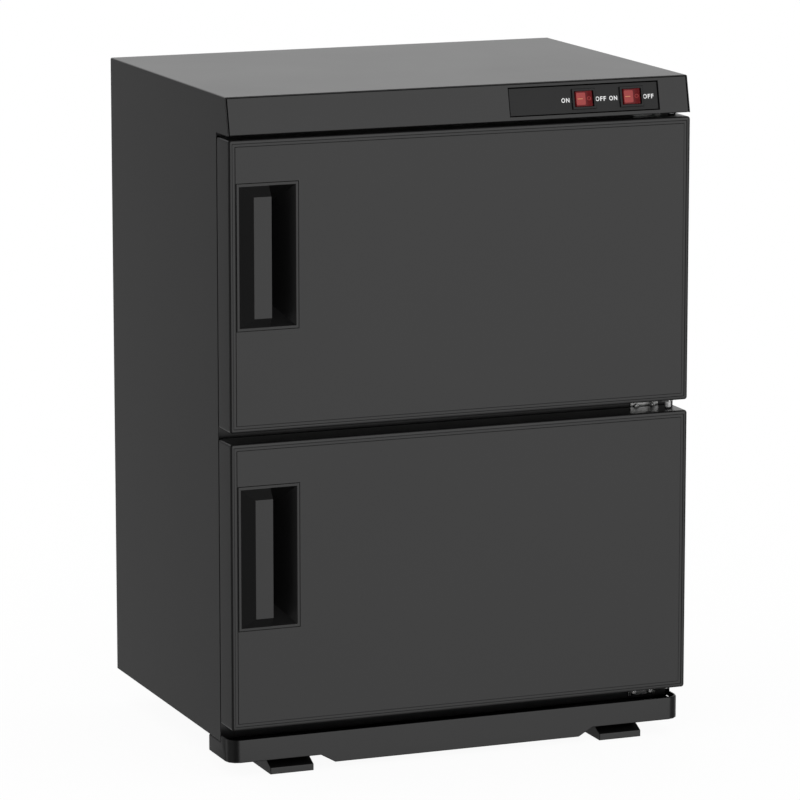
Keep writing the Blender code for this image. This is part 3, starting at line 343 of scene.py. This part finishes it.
def pan_heads(places, across, up, radius, height):
    """Screw heads on the plane of two directions, one at each place.

    A head is a flattened dome: its radius grows with the sine of the fall from the crown and its height
    with the cosine, each to a power below one. Two crossed bars with sloped ends are sunk into the crown.
    """
    fall, turn = ring_grid(0, pi / 2, 15, 40)
    spread = radius * np.sin(fall) ** 0.6
    a, b = spread * np.cos(turn), spread * np.sin(turn)
    width, length, slope, depth = 0.13 * radius, 0.62 * radius, 0.12 * radius, 0.5 * height

    def bar(along, beside):
        """1 inside a bar, and a straight fall to 0 at its ends and sides."""
        return np.clip((length - abs(along)) / slope, 0, 1) * np.clip((width - abs(beside)) / slope, 0, 1)

    crown = height * np.cos(fall) ** 0.5 - depth * np.maximum(bar(a, b), bar(b, a))
    across, up = np.array(across, float), np.array(up, float)
    out = np.cross(across, up)
    head = a[..., None] * across + b[..., None] * up + crown[..., None] * out
    return np.array(places, float)[:, None, None, :] + head


SCREW_RADIUS, SCREW_HEIGHT = 0.0032, 0.0018
SCREW_MARGIN = 0.0105
steel = mottled("zinc_plated_steel", 220.0, (0.82, 0.82, 0.81), (0.96, 0.96, 0.95), 0.16, 0.14,
                detail=4.0, Metallic=1.0)
low, high = (np.array(corner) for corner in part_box("rear_panel"))
near, far, middle = low + SCREW_MARGIN, high - SCREW_MARGIN, (low + high) / 2
places = [(x, high[1], z) for x in (near[0], middle[0], far[0]) for z in (near[2], middle[2], far[2])
          if (x, z) != (middle[0], middle[2])]
grid_piece("rear_panel_screws", pan_heads(places, (-1, 0, 0), (0, 0, 1), SCREW_RADIUS, SCREW_HEIGHT),
           steel, "cabinet")


# Chambers
# Each chamber is a drawn aluminium box behind the front frame, with a heating plate under its floor and a
# thermostat on its back. A rack of welded and plated wire stands in it. The terminal block is moulded.
chamber = Finish("drawn_aluminium", Metallic=1.0)
streak = chamber.node("Mapping", {}, {"Vector": chamber.place, "Scale": (900.0, 14.0, 900.0)})
brush = chamber.node("TexNoise", {}, {"Vector": streak, "Scale": 1.0, "Detail": 2.0})
chamber.mottle(brush, (0.62, 0.62, 0.63), (0.74, 0.74, 0.75), 0.28, 0.16)
chamber.relief(brush, 0.00003, 0.3)
plating = mottled("plated_wire", 120.0, (0.66, 0.66, 0.66), (0.78, 0.78, 0.78), 0.12, 0.14, Metallic=1.0)
ceramic = mottled("off_white_moulding", 400.0, (0.62, 0.60, 0.54), (0.72, 0.70, 0.64), 0.42, 0.12)
BLOCK_ROUNDING = 0.0003
for level in ("lower", "upper"):
    eased(level + "_chamber_liner", chamber, SHEET_ROUNDING)
    eased(level + "_heater", chamber)
    eased(level + "_thermostat", ceramic, BLOCK_ROUNDING)
    eased(level + "_wire_rack", plating)
eased("terminal_block", ceramic, BLOCK_ROUNDING)


# Cord gland
# A black rubber grommet, moulded with a groove round it and snapped into a hole of the rear panel, where
# the mains lead would enter.
rubber = mottled("black_rubber", 300.0, (0.014, 0.014, 0.014), (0.026, 0.026, 0.026), 0.55, 0.2)
GLAND_ROUNDING = 0.0004
eased("cord_gland", rubber, GLAND_ROUNDING)


# Switches
# The switch plate and the two switch housings are smooth black mouldings, snapped in from the front. Each
# rocker is polished red plastic. A paler red patch on its on half is painted highlight, a lit copy of the red
# for the light that falls on that face. An orange bar and a pale ring are inlaid for on and off, and the
# words beside them are printed in white.
smooth_black = mottled("smooth_black_moulding", 30.0, (0.006, 0.006, 0.0064), (0.009, 0.009, 0.0094),
                       0.32, 0.08, Specular_IOR_Level=0.48)
red = mottled("deep_red_rocker", 200.0, (0.112, 0.006, 0.008), (0.147, 0.009, 0.011), 0.22, 0.1,
              Specular_IOR_Level=0.28)
# pale red: the off ring's own colour, and painted highlight for the lit on face of each rocker
ring_and_painted_lit_red = mottled("pale_red_ring_and_painted_lit_face", 200.0, (0.33, 0.044, 0.042), (0.39, 0.052, 0.048), 0.20, 0.1,
                   Specular_IOR_Level=0.4)
inlay = mottled("orange_inlay", 300.0, (0.58, 0.22, 0.10), (0.66, 0.27, 0.13), 0.25, 0.1,
                Specular_IOR_Level=0.5)
ink = mottled("white_ink", 900.0, (0.92, 0.92, 0.92), (0.97, 0.97, 0.97), 0.45, 0.1, Specular_IOR_Level=0.4)

PLATE_ROUNDING = 0.0003
PLATE_LEVEL = 0.00256
FACE_LEVEL = 0.00446
VALLEY_PLACE = 0.0018
OFF_LENGTH = 0.0051
RAISED_ANGLE = radians(23.5)
ROCKER_ROUNDING, ROCKER_STEPS = 0.0013, 4
FACES_OUT = 0.8
# size, place and rise of the painted highlight patch on each rocker's on face
LIT_FACE_HALF = (0.0045, 0.0056)
LIT_FACE_FROM_VALLEY = 0.0051
LIT_FACE_RISE = 0.00004
INLAY_RISE = 0.00010
BAR_HALF = (0.0028, 0.00042)
BAR_FROM_VALLEY = 0.0060
RING_RADIUS, RING_HALF = 0.0015, 0.0003
LETTER_SIZE = 0.0056
LETTER_BOLD = 0.00013
LETTER_RISE = 0.00003
LETTER_WIDTHS = {"O": 0.0037, "N": 0.0034, "F": 0.0024}
LETTER_GAP = 0.0009
WORD_PLACES = {"ON": (-0.0180, -0.0008), "OFF": (0.0171, -0.0008)}


def inlaid_tile(half_length, half_width, rise):
    """Flat tile with rounded corners: a disc of superellipses of the tenth power.

    Its height falls with the eighth power of the way out to its rim.
    """
    share, turn = ring_grid(0, 1, 6, 32)
    a = half_length * share * np.sign(np.cos(turn)) * abs(np.cos(turn)) ** 0.2
    b = half_width * share * np.sign(np.sin(turn)) * abs(np.sin(turn)) ** 0.2
    return np.stack([a, b, rise * (1 - share ** 8)], axis=-1)


def inlaid_ring(radius, half_width, rise):
    """Flat ring: a low arch carried round a circle, its height falling with the fourth power of its width."""
    share, turn = ring_grid(-1, 1, 7, 40)
    spread = radius + half_width * share
    return np.stack([spread * np.cos(turn), spread * np.sin(turn), rise * (1 - share ** 4)], axis=-1)


def printed_word(name, word, place):
    """Word in flat raised ink, centred on a place, as one mesh.

    Each letter is stretched to its own width and stands one gap to the right of the last.
    """
    work = bmesh.new()
    pen = 0.5 * (LETTER_GAP - sum(LETTER_WIDTHS[letter] + LETTER_GAP for letter in word))
    for letter in word:
        curve = bpy.data.curves.new(name, "FONT")
        curve.body = letter
        curve.size = LETTER_SIZE
        curve.offset = LETTER_BOLD
        curve.extrude = LETTER_RISE
        curve.align_y = "CENTER"
        holder = bpy.data.objects.new(name + "_outline", curve)
        scene.collection.objects.link(holder)
        shape = bpy.data.meshes.new_from_object(holder.evaluated_get(bpy.context.evaluated_depsgraph_get()))
        bpy.data.objects.remove(holder, do_unlink=True)
        points = np.empty((len(shape.vertices), 3), np.float32)
        shape.vertices.foreach_get("co", points.ravel())
        start, end = points[:, 0].min(), points[:, 0].max()
        points[:, 0] = pen + LETTER_WIDTHS[letter] * (points[:, 0] - start) / (end - start)
        shape.vertices.foreach_set("co", points.ravel())
        work.from_mesh(shape)
        bpy.data.meshes.remove(shape)
        bpy.data.curves.remove(curve)
        pen += LETTER_WIDTHS[letter] + LETTER_GAP
    mesh = bpy.data.meshes.new(name)
    work.to_mesh(mesh)
    work.free()
    mesh.transform(place)
    mesh.materials.append(ink.material)
    return placed(bpy.data.objects.new(name, mesh), "cabinet")


def round_over_faces(piece, out):
    """Round the edges between a rocker's two faces, which look out, and its sides, before the shading."""
    work = bmesh.new()
    work.from_mesh(piece.data)
    weights = work.edges.layers.float.new("bevel_weight_edge")
    for edge in work.edges:
        ahead = sorted(face.normal.dot(out) for face in edge.link_faces)
        edge[weights] = float(ahead[0] < FACES_OUT < ahead[-1])
    work.to_mesh(piece.data)
    work.free()
    bevel = piece.modifiers.new("rounding", "BEVEL")
    bevel.width = ROCKER_ROUNDING
    bevel.segments = ROCKER_STEPS
    bevel.limit_method = "WEIGHT"
    piece.modifiers.move(1, 0)


eased("switch_plate", smooth_black, PLATE_ROUNDING)
joints = {item["child"]: item for item in frame["record"]["behaviour"]["joints"]}
for side in ("left", "right"):
    eased(side + "_switch_housing", smooth_black, PLATE_ROUNDING)
    body = side + "_switch"
    pivot, up = (np.array(joints[body][key], float) for key in ("pos_m", "axis"))
    across = np.array((1.0, 0.0, 0.0))
    out = np.cross(across, up)
    rocker = eased(side + "_rocker", red)
    round_over_faces(rocker, out)

    flat = np.stack([across, up, out])
    raised = np.stack([cos(RAISED_ANGLE) * across + sin(RAISED_ANGLE) * out, up,
                       cos(RAISED_ANGLE) * out - sin(RAISED_ANGLE) * across])
    valley = pivot + VALLEY_PLACE * across + FACE_LEVEL * out
    # painted highlight: a pale red tile over the on face, standing for the light that falls on it
    lens = valley - LIT_FACE_FROM_VALLEY * flat[0] + inlaid_tile(*LIT_FACE_HALF, LIT_FACE_RISE) @ flat
    bar = valley - BAR_FROM_VALLEY * flat[0] + inlaid_tile(*BAR_HALF, INLAY_RISE) @ flat
    ring = valley + OFF_LENGTH / 2 * raised[0] + inlaid_ring(RING_RADIUS, RING_HALF, INLAY_RISE) @ raised
    grid_piece(side + "_rocker_painted_lit_face", lens[None], ring_and_painted_lit_red, body)
    grid_piece(side + "_rocker_bar", bar[None], inlay, body)
    grid_piece(side + "_rocker_ring", ring[None], ring_and_painted_lit_red, body)
    for word, (beside, above) in WORD_PLACES.items():
        spot = pivot + PLATE_LEVEL * out + beside * across + above * up
        basis = np.column_stack([across, up, out, spot])
        place = Matrix([*basis.tolist(), (0.0, 0.0, 0.0, 1.0)])
        printed_word(side + "_switch_" + word.lower(), word, place)


# Doors
# Each door is a deep black moulding with a fine border groove and a moulded handle let into it. An inner
# panel closes its back, with a silicone seal round it and a catch magnet at its free edge. A black nylon
# bush is pressed into each end of its hinge side.
moulding = Finish("black_moulding", Specular_IOR_Level=0.87)
cloud, grain = moulding.noise(7.0), moulding.noise(2200.0)
moulding.mottle(cloud, (0.0020, 0.0020, 0.0021), (0.0036, 0.0036, 0.0038), 0.28, 0.04)
moulding.relief(grain, 0.00003, 0.25)
silicone = mottled("grey_silicone", 160.0, (0.10, 0.10, 0.105), (0.16, 0.16, 0.165), 0.5, 0.2)
nylon = mottled("black_nylon", 500.0, (0.010, 0.010, 0.011), (0.018, 0.018, 0.019), 0.4, 0.15)
ferrite = mottled("dark_ferrite", 900.0, (0.03, 0.03, 0.032), (0.07, 0.07, 0.075), 0.5, 0.2)
PANEL_ROUNDING, INNER_ROUNDING, BUSH_ROUNDING = 0.0002, 0.0006, 0.0002
HANDLE_ROUNDING, HANDLE_SHARP_ANGLE = 0.00025, 27.0
FINE_STEPS = 3
for level in ("lower", "upper"):
    eased(level + "_door_panel", moulding, PANEL_ROUNDING)
    eased(level + "_door_inner_panel", moulding, INNER_ROUNDING)
    eased(level + "_door_gasket", silicone, INNER_ROUNDING)
    eased(level + "_door_handle", moulding, HANDLE_ROUNDING, FINE_STEPS, HANDLE_SHARP_ANGLE)
    eased(level + "_door_magnet", ferrite, INNER_ROUNDING)
    eased(level + "_door_top_bush", nylon, BUSH_ROUNDING)
    eased(level + "_door_bottom_bush", nylon, BUSH_ROUNDING)


# Hinges
# Bright zinc-plated steel: three pressed angle brackets, each held to the front frame by two screws, and
# the turned pins on which the doors swing. The pins are near white and only partly metal: steel colour with
# a painted sheen that stands for the white wall's reflection in them.
# near-white colour with a low metallic share: steel plus a painted sheen for the pins' bright reflection
pin_steel_with_painted_sheen = mottled("turned_steel_painted_sheen", 300.0, (0.90, 0.90, 0.90), (0.98, 0.98, 0.98), 0.26, 0.10,
                     Metallic=0.35)
PIN_ROUNDING = 0.0002
HINGE_SCREW_RADIUS, HINGE_SCREW_HEIGHT = 0.0027, 0.0020
HINGE_SCREW_INSET, HINGE_SCREW_DROP = 0.0057, 0.0080
BRACKET_WIDTH, BRACKET_SHEET = 0.0280, 0.0012
for place in ("top", "middle", "bottom"):
    eased(place + "_hinge_bracket", steel, SHEET_ROUNDING)
    eased(place + "_hinge_pin", pin_steel_with_painted_sheen, PIN_ROUNDING)
    low, high = (np.array(corner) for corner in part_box(place + "_hinge_bracket"))
    face, level = high[1] - BRACKET_SHEET, high[2] - HINGE_SCREW_DROP
    places = [(low[0] + inset, face, level)
              for inset in (HINGE_SCREW_INSET, BRACKET_WIDTH - HINGE_SCREW_INSET)]
    grid_piece(place + "_hinge_screws",
               pan_heads(places, (1, 0, 0), (0, 0, 1), HINGE_SCREW_RADIUS, HINGE_SCREW_HEIGHT),
               steel, "cabinet")


# Drip tray and feet
# The tray is one black moulding that slides on ledges of the front feet. All four feet are black mouldings,
# hollow below, held to the cabinet's floor by screws in their hollows.
TRAY_ROUNDING, FOOT_ROUNDING = 0.0009, 0.0006
eased("drip_tray", moulding, TRAY_ROUNDING, FINE_STEPS)
FOOT_CEILING = 0.0033
FOOT_SCREW_PLACES = {"front": (0.009,), "rear": (0.0115, 0.0305)}
for end, from_back in FOOT_SCREW_PLACES.items():
    for side in ("left", "right"):
        foot = end + "_" + side + "_foot"
        eased(foot, moulding, FOOT_ROUNDING, FINE_STEPS)
        low, high = (np.array(corner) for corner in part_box(foot))
        places = [((low[0] + high[0]) / 2, high[1] - place, high[2] - FOOT_CEILING) for place in from_back]
        grid_piece(foot + "_screws", pan_heads(places, (1, 0, 0), (0, -1, 0), SCREW_RADIUS, SCREW_HEIGHT),
                   steel, "cabinet")
